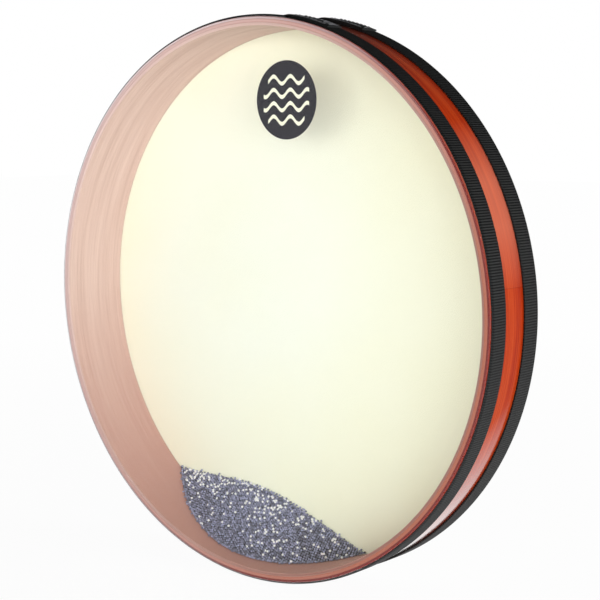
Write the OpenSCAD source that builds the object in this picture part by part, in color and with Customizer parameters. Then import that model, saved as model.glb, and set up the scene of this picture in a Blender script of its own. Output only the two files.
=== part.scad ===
// Ocean drum: a shallow ply shell with a clear film head in front, an ivory film head behind,
// and a heap of small beads shut in between. The drum stands on its rim: +Z is up, the clear
// head faces -Y, and the origin is on the floor under the middle of the shell.
// Every sub-part is drawn about the shell's own axis, with z towards the clear head, and is
// then stood up. Angles run anticlockwise from the right as the clear head is looked at.

/* [Shell] */
// Outer diameter of the wooden shell
shell_d = 508; // [400:1:610]
// Depth of the shell from rim to rim
shell_depth = 70; // [60:1:100]
// Thickness of the stained outer ply
outer_ply_t = 2.4; // [1.8:0.1:3.2]
// Thickness of the core ply
core_ply_t = 3; // [2.2:0.1:5]
// Thickness of the inner ply
inner_ply_t = 2.4; // [1.8:0.1:3.2]
// Glue line between two plies
ply_glue = 0.1; // [0.05:0.01:0.2]
// Radius of the rim's outer corner
rim_round = 1.5; // [0.5:0.1:1.7]
// Drop of the bevel on the inner ply's rim
rim_bevel = 0.7; // [0.3:0.1:1.5]
// Width of the glued seam in each ply
seam_w = 0.2; // [0.1:0.05:0.4]
// Slant of a ply's scarf seam, measured from the radius
seam_slant = 60; // [30:1:70]
// Place of the outer ply's seam
outer_seam_a = 6.5; // [0:0.5:60]
// Place of the core ply's seam
core_seam_a = 126; // [100:1:180]
// Place of the inner ply's seam
inner_seam_a = 318; // [295:1:350]

/* [Heads] */
// Thickness of a head's film
film_t = 0.25; // [0.18:0.01:0.4]
// Glue line between the film and the shell
film_glue = 0.05; // [0.03:0.01:0.1]
// Length of the skirt that turns down over the shell
skirt_l = 15; // [10:1:16]

/* [Webbing] */
// Width of a webbing band
webbing_w = 20; // [17:0.5:25]
// Thickness of the webbing
webbing_t = 1.6; // [1:0.1:2.2]
// Bare strip between the rim and the band
rim_margin = 0.5; // [0.3:0.1:4]
// Glue line under the webbing
tape_glue = 0.05; // [0.03:0.01:0.1]
// Length over which a band's ends lap
lap_l = 45; // [30:1:70]
// Length in which the outer end climbs over the inner one
climb_l = 9; // [6:0.5:20]
// Glue line between the two layers of the lap
lap_glue = 0.1; // [0.05:0.01:0.2]
// Gap left past the inner end
end_gap = 0.6; // [0.3:0.1:1.5]
// Place of the outer end of each band
lap_end_a = 70; // [40:1:100]

/* [Lap stitches] */
// Diameter of the sewing thread
thread_d = 0.7; // [0.4:0.05:1]
// Length of a stitch
stitch_l = 3.2; // [2:0.1:4.5]
// Distance from one stitch to the next
stitch_pitch = 4.6; // [4.2:0.1:8]
// Distance from the stitched box to the lap's edges
stitch_inset = 3; // [2:0.1:5]
// Clearance between the thread and the webbing
thread_seat = 0.05; // [0.03:0.01:0.2]

/* [Staples] */
// Length of a staple's crown
staple_crown = 10; // [6:0.5:14]
// Length of a staple's legs
staple_leg = 4.6; // [3.5:0.1:4.8]
// Thickness of the wire in the direction of the legs
staple_t = 0.55; // [0.4:0.05:0.7]
// Width of the wire
staple_w = 0.9; // [0.6:0.05:1.2]
// Distance from one staple to the next along the shell
staple_pitch = 40; // [25:1:60]
// Distance of the staples from the rim
staple_row = 9; // [6:0.5:12]
// Depth of the crowns below the face of the film
staple_sink = 0.06; // [0.05:0.01:0.1]

/* [Badge] */
// Diameter of the round badge
badge_d = 68; // [40:1:90]
// Distance from the badge's edge to the shell's inner wall
badge_margin = 26.5; // [5:0.5:80]
// Place of the badge round the head
badge_a = 76.6; // [50:0.1:130]
// Thickness of the badge
badge_t = 0.1; // [0.05:0.01:0.2]
// Gap between the clear film and the print on its inner face
print_gap = 0.03; // [0.02:0.01:0.1]
// Thickness of the printed wave lines
wave_t = 0.05; // [0.03:0.01:0.1]
// Width of a wave line
wave_w = 3.4; // [2:0.1:4.5]
// Height of a wave from its middle line
wave_h = 3.2; // [1:0.1:4]
// Length of one wave
wave_l = 19; // [12:0.5:30]
// Distance from one wave line to the next
wave_pitch = 11.5; // [9.5:0.5:16]
// Number of wave lines
wave_n = 4; // [2:1:5]

/* [Beads] */
// Diameter of one bead
bead_d = 2.3; // [1.5:0.1:3]
// How far the heap comes up the ivory head
heap_rise = 49.5; // [30:0.5:70]
// Room between the crest of the heap along the wall and the clear head
crest_room = 18.2; // [12:0.1:30]
// Place of the middle of the heap
heap_a = 259.2; // [225:0.1:315]
// Half the arc that the heap covers
heap_half_a = 29.6; // [22:0.1:45]
// Clearance between the heap and the drum, and between its clusters
heap_clear = 0.3; // [0.2:0.05:0.6]
// Clearance between the white beads and the packed beads under them
bead_seat = 0.4; // [0.3:0.05:0.6]
// Number of white beads on each cluster
white_n = 30; // [10:1:36]

/* [Hidden] */

$fn = 96;
// Overrun of the cuts
cut_over = 1;

// Radii of the plies, from the outside in
shell_r = shell_d / 2;
half_depth = shell_depth / 2;
outer_in_r = shell_r - outer_ply_t;
core_out_r = outer_in_r - ply_glue;
core_in_r = core_out_r - core_ply_t;
inner_out_r = core_in_r - ply_glue;
wall_in_r = inner_out_r - inner_ply_t;

// Faces of the film, and radii of the webbing on it
film_in_z = half_depth + film_glue;
film_out_z = film_in_z + film_t;
skirt_in_r = shell_r + film_glue;
skirt_out_r = skirt_in_r + film_t;
tape_in_r = skirt_out_r + tape_glue;
tape_out_r = tape_in_r + webbing_t;
lap_in_r = tape_out_r + lap_glue;
lap_out_r = lap_in_r + webbing_t;
tape_top_z = half_depth - rim_margin;
tape_bottom_z = tape_top_z - webbing_w;

// Angle that an arc of a given length takes at a given radius
function arc_deg(length, radius) = 180 * length / (PI * radius);

lap_deg = arc_deg(lap_l, lap_in_r);
climb_deg = arc_deg(climb_l, lap_in_r);
inner_end_a = lap_end_a + lap_deg - arc_deg(end_gap, tape_in_r);
climb_a = lap_end_a + lap_deg;
landing_a = climb_a + climb_deg;
// The webbing is drawn in short flats, one of which lies level at the foot of the drum
facet_deg = 2;
lap_steps = 6;
climb_steps = 8;

// The heap is cut into clusters at these shares of its half arc
cluster_edge_shares = [-0.93, -0.58, -0.2, 0.2, 0.58, 0.93];
// Fullness of the heap's outline, how far its reach leans to the right, and its crown
fullness_share = 0.93;
lean_share = 0.1;
crown_share = 0.06;
slope_steps = 6;
arc_steps = 14;
heap_wall_r = wall_in_r - heap_clear;
heap_floor_z = heap_clear - film_in_z;
heap_reach = 2 * film_in_z - crest_room;
// Depth of the layer of single beads that covers the packed beads
top_layer = bead_d + bead_seat;

// Stands the drum on its rim, with the clear head to the front
module stood_up() {
    translate([0, 0, tape_out_r]) rotate([90, 0, 0]) children();
}

// A quarter disc that rounds a corner towards +x and +y
module quarter(radius) {
    intersection() {
        circle(radius);
        square(radius);
    }
}

// A slanted slot through a ply's thickness and its full depth
module ply_seam(angle, inner_r, outer_r) {
    slot_l = (outer_r - inner_r) / cos(seam_slant) + 2 * cut_over;
    rotate([0, 0, angle])
        translate([(inner_r + outer_r) / 2, 0, 0])
            rotate([0, 0, seam_slant])
                cube([slot_l, seam_w, shell_depth + 2 * cut_over], center = true);
}

module shell_outer_ply() {
    flat_w = outer_ply_t - rim_round;
    color([0.74, 0.30, 0.13]) stood_up() difference() {
        rotate_extrude() union() {
            translate([outer_in_r, -half_depth]) square([flat_w, shell_depth]);
            translate([outer_in_r, rim_round - half_depth])
                square([outer_ply_t, shell_depth - 2 * rim_round]);
            translate([shell_r - rim_round, half_depth - rim_round]) quarter(rim_round);
            translate([shell_r - rim_round, rim_round - half_depth])
                mirror([0, 1]) quarter(rim_round);
        }
        ply_seam(outer_seam_a, outer_in_r, shell_r);
    }
}

module shell_core_ply() {
    color([0.80, 0.58, 0.42]) stood_up() difference() {
        rotate_extrude()
            translate([core_in_r, -half_depth]) square([core_ply_t, shell_depth]);
        ply_seam(core_seam_a, core_in_r, core_out_r);
    }
}

// The inner ply's rims fall away inwards, so that the film leaves the wood at a clean line
module shell_inner_ply() {
    bevel_z = half_depth - rim_bevel;
    color([0.72, 0.42, 0.30]) stood_up() difference() {
        rotate_extrude() polygon([
            [inner_out_r, -half_depth],
            [inner_out_r, half_depth],
            [wall_in_r, bevel_z],
            [wall_in_r, -bevel_z]
        ]);
        ply_seam(inner_seam_a, wall_in_r, inner_out_r);
    }
}

// A film head: a flat disc, a rounded shoulder over the rim, and a skirt down the shell
module film_head() {
    shoulder_r = rim_round + film_glue;
    rotate_extrude() union() {
        translate([0, film_in_z]) square([shell_r - rim_round, film_t]);
        translate([shell_r - rim_round, half_depth - rim_round]) difference() {
            quarter(shoulder_r + film_t);
            circle(shoulder_r);
        }
        translate([skirt_in_r, half_depth - skirt_l]) square([film_t, skirt_l - rim_round]);
    }
}

module front_head() {
    color([0.90, 0.90, 0.88, 0.3]) stood_up() film_head();
}

module rear_head() {
    color([0.97, 0.96, 0.80]) stood_up() mirror([0, 0, 1]) film_head();
}

// Share of the climb at a share of its length, with level ends
function ease(share) = share * share * (3 - 2 * share);

// A point of the strip, with the middles of its facets on the true radius
function strip_point(radius, angle) =
    let (r = radius / cos(facet_deg / 2)) [r * cos(angle), r * sin(angle)];

// One strip of webbing round the shell, with its outer end lapped over its inner end.
// Its path goes from the outer end over the lap, down the climb and round to the inner end.
module webbing_band() {
    first_a = facet_deg * (ceil(landing_a / facet_deg) + 0.5);
    last_a = inner_end_a + 360;
    path = concat(
        [for (i = [0:lap_steps]) [lap_in_r, lap_end_a + lap_deg * i / lap_steps]],
        [for (i = [1:climb_steps]) let (s = i / climb_steps)
            [lap_in_r - (webbing_t + lap_glue) * ease(s), climb_a + climb_deg * s]],
        [for (a = [first_a:facet_deg:last_a - facet_deg / 4]) [tape_in_r, a]],
        [[tape_in_r, last_a]]
    );
    last = len(path) - 1;
    outline = concat(
        [for (p = path) strip_point(p[0], p[1])],
        [for (i = [0:last]) strip_point(path[last - i][0] + webbing_t, path[last - i][1])]
    );
    translate([0, 0, tape_bottom_z]) linear_extrude(height = webbing_w) polygon(outline);
}

module front_webbing() {
    color([0.09, 0.10, 0.10]) stood_up() webbing_band();
}

module rear_webbing() {
    color([0.09, 0.10, 0.10]) stood_up() mirror([0, 0, 1]) webbing_band();
}

// A box of stitches on the lap: a row along each edge, and a row across each end
module stitch_box() {
    thread_r = lap_out_r + thread_seat + thread_d / 2;
    long_l = lap_l - 2 * stitch_inset;
    long_n = floor((long_l - stitch_l) / stitch_pitch) + 1;
    cross_w = webbing_w - 2 * stitch_inset;
    cross_n = floor((cross_w - stitch_l - stitch_pitch) / stitch_pitch) + 1;
    stitch_deg = arc_deg(stitch_l, thread_r);
    mid_a = lap_end_a + lap_deg / 2;
    mid_z = tape_bottom_z + webbing_w / 2;
    for (side = [-1, 1], i = [0:long_n - 1]) {
        along = (i - (long_n - 1) / 2) * stitch_pitch - stitch_l / 2;
        rotate([0, 0, mid_a + arc_deg(along, thread_r)])
            rotate_extrude(angle = stitch_deg)
                translate([thread_r, mid_z + side * cross_w / 2]) circle(d = thread_d);
    }
    for (side = [-1, 1], i = [0:cross_n - 1]) {
        across = (i - (cross_n - 1) / 2) * stitch_pitch;
        rotate([0, 0, mid_a + side * arc_deg(long_l / 2, thread_r)])
            translate([thread_r, 0, mid_z + across])
                cylinder(d = thread_d, h = stitch_l, center = true);
    }
}

module front_lap_stitches() {
    color([0.20, 0.21, 0.21]) stood_up() stitch_box();
}

module rear_lap_stitches() {
    color([0.20, 0.21, 0.21]) stood_up() mirror([0, 0, 1]) stitch_box();
}

// One wire staple: the crown lies along the shell, and the legs point to its axis
module staple() {
    leg_y = (staple_crown - staple_t) / 2;
    top_r = skirt_out_r - staple_sink;
    union() {
        translate([top_r - staple_t, -staple_crown / 2, -staple_w / 2])
            cube([staple_t, staple_crown, staple_w]);
        for (side = [-1, 1])
            translate([top_r - staple_leg, side * leg_y - staple_t / 2, -staple_w / 2])
                cube([staple_leg, staple_t, staple_w]);
    }
}

// The staples that hold a head's skirt, hidden under the webbing
module staple_ring() {
    staple_n = floor(2 * PI * shell_r / staple_pitch);
    for (i = [0:staple_n - 1])
        rotate([0, 0, 360 * (i + 0.5) / staple_n])
            translate([0, 0, half_depth - staple_row]) staple();
}

module front_staples() {
    color([0.70, 0.70, 0.72]) stood_up() staple_ring();
}

module rear_staples() {
    color([0.70, 0.70, 0.72]) stood_up() mirror([0, 0, 1]) staple_ring();
}

// The middle of the badge's front, which is printed on the inner face of the clear film, so
// that the head stays flat outside
module at_badge() {
    badge_r = wall_in_r - badge_margin - badge_d / 2;
    print_z = film_in_z - print_gap;
    stood_up() translate([badge_r * cos(badge_a), badge_r * sin(badge_a), print_z]) children();
}

// The dark disc lies behind the wave lines
module head_badge() {
    color([0.25, 0.25, 0.27]) at_badge()
        translate([0, 0, -wave_t - badge_t]) cylinder(d = badge_d, h = badge_t);
}

// Wave lines across the badge, each as long as its place on the disc allows
module badge_waves() {
    wave_steps = 36;
    reach_share = 0.8;
    color([0.95, 0.94, 0.84]) at_badge() for (k = [0:wave_n - 1]) {
        mid_y = (k - (wave_n - 1) / 2) * wave_pitch;
        far_y = abs(mid_y) + wave_h + wave_w / 2;
        half_l = reach_share * sqrt(max(badge_d * badge_d / 4 - far_y * far_y, wave_w * wave_w));
        line = [for (i = [0:wave_steps]) let (x = half_l * (2 * i / wave_steps - 1))
            [x, mid_y + wave_h * sin(360 * x / wave_l)]];
        outline = concat(
            [for (i = [0:wave_steps]) line[i] - [0, wave_w / 2]],
            [for (i = [0:wave_steps]) line[wave_steps - i] + [0, wave_w / 2]]
        );
        translate([0, 0, -wave_t]) linear_extrude(height = wave_t) polygon(outline);
    }
}

// The heap's rise up the ivory head and its reach along the wall, at a share of its half arc
function heap_outline(s) = pow(max(1 - s * s, 0), fullness_share);
function rise_at(s) = heap_rise * heap_outline(s);
function reach_at(s) = heap_reach * heap_outline(s) * (1 + lean_share * s);

// A point of the heap's slope, sunk below its free surface: t runs from the head to the wall
function slope_point(s, t, sunk) =
    let (
        rise = rise_at(s),
        reach = reach_at(s),
        span = sqrt(rise * rise + reach * reach),
        left = 1 - sunk * span / (rise * reach),
        crown = crown_share * 4 * t * (1 - t) * left
    )
    [
        heap_wall_r - rise * left * (1 - t) - crown * reach,
        heap_floor_z + reach * left * t + crown * rise
    ];

// A point [radius, z] of the section at an angle, turned into space
function turned(point, angle) = [point[0] * cos(angle), point[0] * sin(angle), point[1]];

function share_angle(s) = heap_a + heap_half_a * s;

// The packed beads between two shares of the heap's half arc
module shot_cluster(from_share, to_share) {
    trim = arc_deg(heap_clear / 2, heap_wall_r) / heap_half_a;
    first = from_share + trim;
    last = to_share - trim;
    ring_n = slope_steps + 2;
    sections = [for (i = [0:arc_steps]) let (s = first + (last - first) * i / arc_steps)
        concat(
            [turned([heap_wall_r, heap_floor_z], share_angle(s))],
            [for (j = [0:slope_steps])
                turned(slope_point(s, j / slope_steps, top_layer), share_angle(s))]
        )];
    points = [for (section = sections, point = section) point];
    sides = [for (i = [0:arc_steps - 1], j = [0:ring_n - 1])
        let (a = i * ring_n + j, b = i * ring_n + (j + 1) % ring_n)
        each [[a, b, b + ring_n], [a, b + ring_n, a + ring_n]]];
    near_cap = [for (j = [1:ring_n - 2]) [0, j + 1, j]];
    far_cap = [for (j = [1:ring_n - 2]) [0, j, j + 1] + arc_steps * ring_n * [1, 1, 1]];
    polyhedron(points, concat(sides, near_cap, far_cap));
}

module packed_beads(k) {
    color([0.42, 0.43, 0.48]) stood_up()
        shot_cluster(cluster_edge_shares[k], cluster_edge_shares[k + 1]);
}

// White beads spread evenly over a cluster's slope by two fixed strides, thickest near the head
module white_beads(k) {
    stride_shares = [0.7549, 0.5698];
    outer_share = 0.84;
    slope_shares = [0.05, 0.95];
    crowding = 1.35;
    bead_deg = arc_deg(bead_d + heap_clear, heap_wall_r - heap_rise);
    edge = bead_deg / heap_half_a;
    from_share = max(cluster_edge_shares[k], -outer_share) + edge;
    to_share = min(cluster_edge_shares[k + 1], outer_share) - edge;
    color([0.96, 0.95, 0.90]) stood_up() for (i = [1:white_n]) {
        u = i * stride_shares[0] - floor(i * stride_shares[0]);
        v = i * stride_shares[1] - floor(i * stride_shares[1]);
        s = from_share + (to_share - from_share) * u;
        t = slope_shares[0] + (slope_shares[1] - slope_shares[0]) * pow(v, crowding);
        translate(turned(slope_point(s, t, bead_d / 2), share_angle(s))) sphere(d = bead_d);
    }
}

module shot_far_left() { packed_beads(0); }
module shot_left() { packed_beads(1); }
module shot_middle() { packed_beads(2); }
module shot_right() { packed_beads(3); }
module shot_far_right() { packed_beads(4); }
module white_beads_far_left() { white_beads(0); }
module white_beads_left() { white_beads(1); }
module white_beads_middle() { white_beads(2); }
module white_beads_right() { white_beads(3); }
module white_beads_far_right() { white_beads(4); }

shell_outer_ply();
shell_core_ply();
shell_inner_ply();
front_head();
rear_head();
front_webbing();
rear_webbing();
front_lap_stitches();
rear_lap_stitches();
front_staples();
rear_staples();
head_badge();
badge_waves();
shot_far_left();
shot_left();
shot_middle();
shot_right();
shot_far_right();
white_beads_far_left();
white_beads_left();
white_beads_middle();
white_beads_right();
white_beads_far_right();
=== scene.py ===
"""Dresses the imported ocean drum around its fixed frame.

The staples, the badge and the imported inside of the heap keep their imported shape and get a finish. The
plies, the films, the woven bands, the sewn laps and the balls over the heap are made again, finer,
where the frame holds them.

Every new piece is drawn about the shell's own axis, with z towards the clear head, and is then stood
up. Angles run anticlockwise from the right as the clear head is looked at. Lengths are in metres.
"""

import logging
import math
from collections.abc import Callable, Iterable, Sequence
from dataclasses import dataclass
from enum import Enum

import bmesh
import bpy
import numpy as np
from mathutils import Matrix, Vector


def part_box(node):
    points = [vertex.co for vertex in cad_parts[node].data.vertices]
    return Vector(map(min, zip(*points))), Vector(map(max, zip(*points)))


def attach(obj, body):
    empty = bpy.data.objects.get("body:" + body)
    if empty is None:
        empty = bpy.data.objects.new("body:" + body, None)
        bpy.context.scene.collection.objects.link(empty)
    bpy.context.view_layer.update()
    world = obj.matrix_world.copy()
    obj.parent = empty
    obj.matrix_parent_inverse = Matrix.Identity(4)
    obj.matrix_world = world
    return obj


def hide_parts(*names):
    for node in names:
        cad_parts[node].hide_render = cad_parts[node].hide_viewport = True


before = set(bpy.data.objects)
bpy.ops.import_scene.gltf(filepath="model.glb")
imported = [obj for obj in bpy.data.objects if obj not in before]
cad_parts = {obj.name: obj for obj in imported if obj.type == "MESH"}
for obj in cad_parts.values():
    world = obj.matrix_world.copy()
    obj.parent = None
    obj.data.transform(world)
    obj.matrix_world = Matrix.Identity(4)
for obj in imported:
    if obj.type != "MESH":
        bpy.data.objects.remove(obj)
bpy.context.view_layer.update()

LOG = logging.getLogger("ocean_drum")
MM = 0.001
WHITE = (1.0, 1.0, 1.0, 1.0)
Colour = tuple[float, float, float]
Place = tuple[float, float, float]
Weights = tuple[float, ...]
Settings = dict[str, object]
Sockets = dict[int | str, object]
Material = bpy.types.Material
Thing = bpy.types.Object


class Named(Enum):
    """Parts of the drum that share a word with the frame's nodes."""

    @property
    def word(self) -> str:
        """The part's name as the nodes spell it."""
        return self.name.lower()


class Side(Named):
    """The two ends of the shell, with the sign of their depth towards the clear head."""

    FRONT = 1
    REAR = -1


class Cluster(Named):
    """The clusters of the heap, with the shares of its half arc between which each lies."""

    FAR_LEFT = (-1.0, -0.58)
    LEFT = (-0.58, -0.2)
    MIDDLE = (-0.2, 0.2)
    RIGHT = (0.2, 0.58)
    FAR_RIGHT = (0.58, 1.0)


def linear(colour: Colour) -> tuple[float, float, float, float]:
    """Turns a screen colour into the linear colour that a shader takes.

    Args:
        colour: Red, green and blue as seen on a screen, from 0 to 1.

    Returns:
        The linear red, green and blue, and an alpha of 1.
    """
    parts = [c / 12.92 if c <= 0.04045 else ((c + 0.055) / 1.055) ** 2.4 for c in colour]
    return parts[0], parts[1], parts[2], 1.0


def arc(centre: tuple[float, float], radius: float, start: float, end: float, steps: int) -> list[tuple]:
    """Points of an arc in a flat section, with its angles in degrees."""
    angles = np.radians(np.linspace(start, end, steps + 1))
    return [(centre[0] + radius * math.cos(a), centre[1] + radius * math.sin(a)) for a in angles]


def around(radius: "np.ndarray | float", angles: np.ndarray) -> np.ndarray:
    """Points round the shell's axis, with their angles in radians."""
    return np.column_stack([radius * np.cos(angles), radius * np.sin(angles), np.zeros_like(angles)])


def eased(values: np.ndarray) -> np.ndarray:
    """Clamps values to the range from 0 to 1 and eases them at both of its ends."""
    share = np.clip(values, 0, 1)
    return share * share * (3 - 2 * share)


def operators(operation: str) -> tuple[Callable, Callable]:
    """Makes an operator for wires, and its reflected form for a wire on the right.

    Args:
        operation: The operation of the Math node that each use adds.

    Returns:
        The two methods.
    """

    def plain(wire: "Wire", other: "Wire | float") -> "Wire":
        """The wire with the other value on its right."""
        return wire.nodes.math(operation, wire, other)

    def reflected(wire: "Wire", other: float) -> "Wire":
        """The wire with the other value on its left."""
        return wire.nodes.math(operation, other, wire)

    return plain, reflected


class Wire:
    """A node's output that can stand in a sum. Each sum adds its own Math node."""

    def __init__(self, nodes: "Nodes", socket: bpy.types.NodeSocket) -> None:
        """Keeps the socket and the tree that it belongs to."""
        self.nodes = nodes
        self.socket = socket

    __add__, __radd__ = operators("ADD")
    __sub__, __rsub__ = operators("SUBTRACT")
    __mul__, __rmul__ = operators("MULTIPLY")
    __truediv__, __rtruediv__ = operators("DIVIDE")
    __pow__, __rpow__ = operators("POWER")


class Nodes:
    """Builds one node tree, of a material, of the world or of geometry."""

    MIX_ENDS = (6, 7)
    MIX_RESULT = 2

    def __init__(self, tree: bpy.types.NodeTree) -> None:
        """Keeps the tree to build in."""
        self.tree = tree

    @classmethod
    def fresh(cls, owner: "Material | bpy.types.World") -> "Nodes":
        """Starts on the emptied tree of a material or of the world."""
        owner.use_nodes = True
        owner.node_tree.nodes.clear()
        return cls(owner.node_tree)

    def add(self, kind: str, settings: Settings, sockets: Sockets) -> bpy.types.Node:
        """Makes a node: its settings first, then its sockets.

        Args:
            kind: The node's type.
            settings: Values of its properties, and a ramp's stops as (place, colour) under "stops".
            sockets: A value or a wire for each input, by its name or its number.

        Returns:
            The new node.
        """
        node = self.tree.nodes.new(kind)
        for name, value in settings.items():
            if name == "stops":
                self._set_stops(node.color_ramp, value)
            else:
                setattr(node, name, value)
        for key, value in sockets.items():
            if isinstance(value, Wire):
                self.tree.links.new(value.socket, node.inputs[key])
            else:
                node.inputs[key].default_value = value
        return node

    @staticmethod
    def _set_stops(ramp: bpy.types.ColorRamp, stops: Sequence[tuple[float, Colour]]) -> None:
        """Gives a ramp its stops, in rising order."""
        while len(ramp.elements) < len(stops):
            ramp.elements.new(1.0)
        for element, (place, colour) in zip(ramp.elements, stops):
            element.position = place
            element.color = linear(colour)

    def wire(
        self,
        kind: str,
        settings: Settings | None = None,
        sockets: Sockets | None = None,
        output: int | str = 0,
        **named: object,
    ) -> Wire:
        """Makes a node and takes one of its outputs.

        Args:
            kind: The node's type.
            settings: Values of its properties.
            sockets: A value or a wire for each input, by its name or its number.
            output: The output's name or number.
            **named: More inputs, by their names with underscores for spaces.

        Returns:
            A wire from the output.
        """
        inputs = {key.replace("_", " "): value for key, value in named.items()}
        node = self.add(kind, settings or {}, {**(sockets or {}), **inputs})
        return Wire(self, node.outputs[output])

    def math(self, operation: str, *values: "Wire | float") -> Wire:
        """The result of a Math node."""
        return self.wire("ShaderNodeMath", {"operation": operation}, dict(enumerate(values)))

    def vector_math(self, operation: str, *values: "Wire | tuple", **named: Wire) -> Wire:
        """The vector result of a Vector Math node."""
        settings = {"operation": operation}
        return self.wire("ShaderNodeVectorMath", settings, dict(enumerate(values)), **named)

    @staticmethod
    def weigh(parts: Sequence[Wire], weights: Sequence[float]) -> Wire:
        """The sum of some parts, each times its weight."""
        total, *rest = (part * weight for part, weight in zip(parts, weights))
        for part in rest:
            total = total + part
        return total

    def wave(self, phase: Wire, shape: str = "COSINE") -> Wire:
        """A wave from 0 to 1."""
        return self.math(shape, phase) * 0.5 + 0.5

    def length(self, x: Wire, y: Wire) -> Wire:
        """How far a point of a plane lies from where the two parts are 0."""
        return self.math("SQRT", x * x + y * y)

    def join(self, x: "Wire | float", y: "Wire | float", z: "Wire | float") -> Wire:
        """A vector of three parts."""
        return self.wire("ShaderNodeCombineXYZ", sockets={0: x, 1: y, 2: z})

    def split(self, vector: Wire) -> tuple[Wire, Wire, Wire]:
        """The three parts of a vector."""
        node = self.add("ShaderNodeSeparateXYZ", {}, {0: vector})
        return tuple(Wire(self, output) for output in node.outputs)

    def here(self) -> Wire:
        """Where a point of the piece lies."""
        return self.wire("ShaderNodeTexCoord", output="Object")

    def place(self) -> tuple[Wire, Wire, Wire]:
        """Where a point of the piece lies, as x, y and z."""
        return self.split(self.here())

    def mix(self, factor: Wire, first: "Wire | Colour", second: "Wire | Colour") -> Wire:
        """A mix of two colours, clamped to what a surface can have."""
        ends = [end if isinstance(end, Wire) else linear(end) for end in (first, second)]
        settings = {"data_type": "RGBA", "clamp_result": True}
        sockets = {0: factor, **dict(zip(self.MIX_ENDS, ends))}
        return self.wire("ShaderNodeMix", settings, sockets, self.MIX_RESULT)

    def ramp(self, factor: Wire, stops: Sequence[tuple[float, Colour]]) -> Wire:
        """The colour of a ramp at a factor."""
        return self.wire("ShaderNodeValToRGB", {"stops": stops}, Fac=factor)

    def noise(self, vector: Wire, scale: float = 1.0, detail: float = 3.0, rough: float = 0.55) -> Wire:
        """Noise from 0 to 1 over a vector."""
        return self.wire("ShaderNodeTexNoise", Vector=vector, Scale=scale, Detail=detail, Roughness=rough)

    def spread(self, value: Wire, low: float, high: float) -> Wire:
        """Stretches the range from low to high over 0 to 1, clamped."""
        return self.wire("ShaderNodeMapRange", Value=value, From_Min=low, From_Max=high)

    def slant(self) -> Wire:
        """How far the surface turns away from the eye, from 0 to 1, for gloss."""
        return self.wire("ShaderNodeLayerWeight", output="Facing", Blend=0.5)

    def attribute(self, name: str) -> Wire:
        """A number that the mesh carries under a name, in a material."""
        return self.wire("ShaderNodeAttribute", {"attribute_name": name}, output="Fac")

    def bumped(self, height: Wire, depth: float) -> Wire:
        """A normal that follows a height from 0 to 1, depth metres deep."""
        return self.wire("ShaderNodeBump", output="Normal", Height=height, Distance=depth)

    def surface(self, **sockets: object) -> Wire:
        """A Principled shader."""
        return self.wire("ShaderNodeBsdfPrincipled", **sockets)

    def blend(self, share: Wire, first: Wire, second: Wire) -> Wire:
        """A mix of two shaders."""
        return self.wire("ShaderNodeMixShader", sockets={0: share, 1: first, 2: second})

    def rays(self) -> tuple[Wire, Wire]:
        """1 for rays that show the background straight or through glass, and 1 for those in a gloss."""
        path = self.add("ShaderNodeLightPath", {}, {})
        kinds = ("Is Camera Ray", "Is Transmission Ray", "Is Glossy Ray")
        camera, through, glossy = (Wire(self, path.outputs[kind]) for kind in kinds)
        return self.math("MAXIMUM", camera, through), glossy


@dataclass(frozen=True)
class Ring:
    """The radii of a ring about the shell's axis, and its lowest and highest y."""

    inner_r: float
    outer_r: float
    low_y: float
    high_y: float

    @classmethod
    def of(cls, node: str, axis_z: float) -> "Ring":
        """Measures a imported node."""
        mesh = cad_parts[node].data
        flat = np.empty(len(mesh.vertices) * 3)
        mesh.vertices.foreach_get("co", flat)
        x, y, z = flat.reshape(-1, 3).T
        radius = np.hypot(x, z - axis_z)
        return cls(float(radius.min()), float(radius.max()), float(y.min()), float(y.max()))

    @property
    def width(self) -> float:
        """Its width along the shell's axis."""
        return self.high_y - self.low_y

    @property
    def mid_y(self) -> float:
        """Its middle along the shell's axis."""
        return (self.high_y + self.low_y) / 2


@dataclass(frozen=True)
class Finish:
    """A named finish. Each kind below lays its own pattern."""

    name: str

    def material(self) -> Material:
        """Builds the finish as a material."""
        material = bpy.data.materials.new(self.name)
        nodes = Nodes.fresh(material)
        nodes.add("ShaderNodeOutputMaterial", {}, {"Surface": self.shader(nodes)})
        return material

    def shader(self, nodes: Nodes) -> Wire:
        """The finish's shader, which each kind makes in its own way."""
        raise NotImplementedError


@dataclass(frozen=True)
class Rim:
    """A ply's cut end: painted highlight on one side, painted shade opposite, dark glue at its edges."""

    pale: Colour
    deep: Colour
    # Where the painted highlight is brightest, and how the painted shade gives way to it.
    painted_light_a: float = 150.0
    painted_light_from: float = -0.8
    painted_light_to: float = 1.2
    grain_swing: float = 0.8
    fade: float = 0.5 * MM
    glue_w: float = 0.7 * MM
    glue: float = 0.35


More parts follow.
